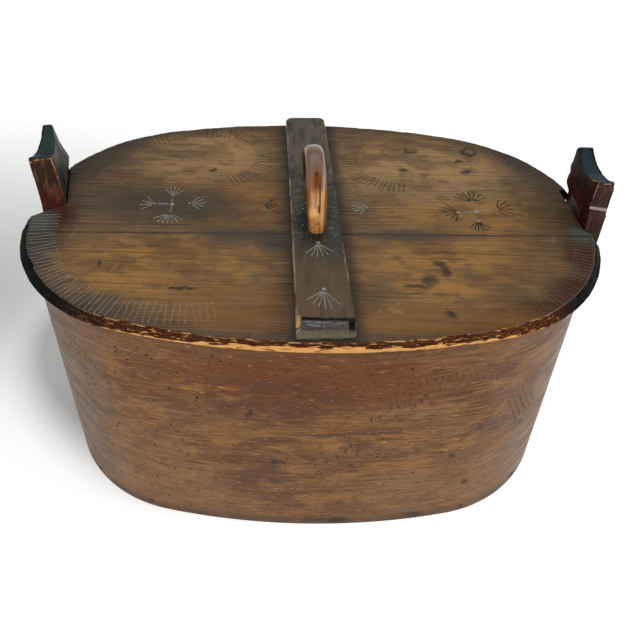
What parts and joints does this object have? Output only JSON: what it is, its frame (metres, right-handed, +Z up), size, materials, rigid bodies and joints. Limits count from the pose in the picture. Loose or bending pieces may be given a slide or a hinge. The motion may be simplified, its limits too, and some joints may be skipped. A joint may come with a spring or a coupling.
{
  "type": "norwegian tine box",
  "caption": "Oval bentwood box with a two-board lid, cross batten, arched grip and sprung end posts that clamp the lid.",
  "frame": {"origin": "middle of the bottom board's underside", "axes": "+Z up, +X along the box towards the plain end post, -Y towards the front"},
  "size_m": [0.4471, 0.2882, 0.2651],
  "materials": {
    "side_wood": "worn, waxed",
    "root": "worn, waxed",
    "bottom_wood": "worn, waxed",
    "peg_wood": "worn, waxed",
    "post_wood": "worn, waxed",
    "lid_wood": "worn, waxed",
    "batten_wood": "worn, waxed",
    "handle_wood": "worn, waxed"
  },
  "bodies": {
    "box": {"side_band": "side_wood", "seam_lacing": "root", "bottom_board": "bottom_wood", "bottom_pegs": "peg_wood"},
    "lid": {"lid_front_board": "lid_wood", "lid_rear_board": "lid_wood", "lid_dowels": "peg_wood", "lid_batten": "batten_wood", "batten_pegs": "peg_wood", "handle": "handle_wood", "handle_wedges": "peg_wood"},
    "left_post": {"left_post": "post_wood", "left_post_pegs": "peg_wood"},
    "right_post": {"right_post": "post_wood", "right_post_pegs": "peg_wood"}
  },
  "joints": [
    {"name": "lid_lift", "type": "slide", "parent": "box", "child": "lid", "axis": [0, 0, 1], "range_m": [0, 0.06]},
    {"name": "left_post_flex", "type": "hinge", "parent": "box", "child": "left_post", "pos_m": [-0.2075, 0.036, 0.03], "axis": [0, -1, 0], "range_deg": [0, 4.05], "stiffness_Nm_per_rad": 20},
    {"name": "right_post_flex", "type": "hinge", "parent": "box", "child": "right_post", "pos_m": [0.2075, 0.0165, 0.03], "axis": [0, 1, 0], "range_deg": [0, 4.05], "stiffness_Nm_per_rad": 20}
  ],
  "couplings": [
    {"joint": "left_post_flex", "follows": "lid_lift", "rad_per_m": 1.1636},
    {"joint": "right_post_flex", "follows": "lid_lift", "rad_per_m": 1.1636}
  ]
}
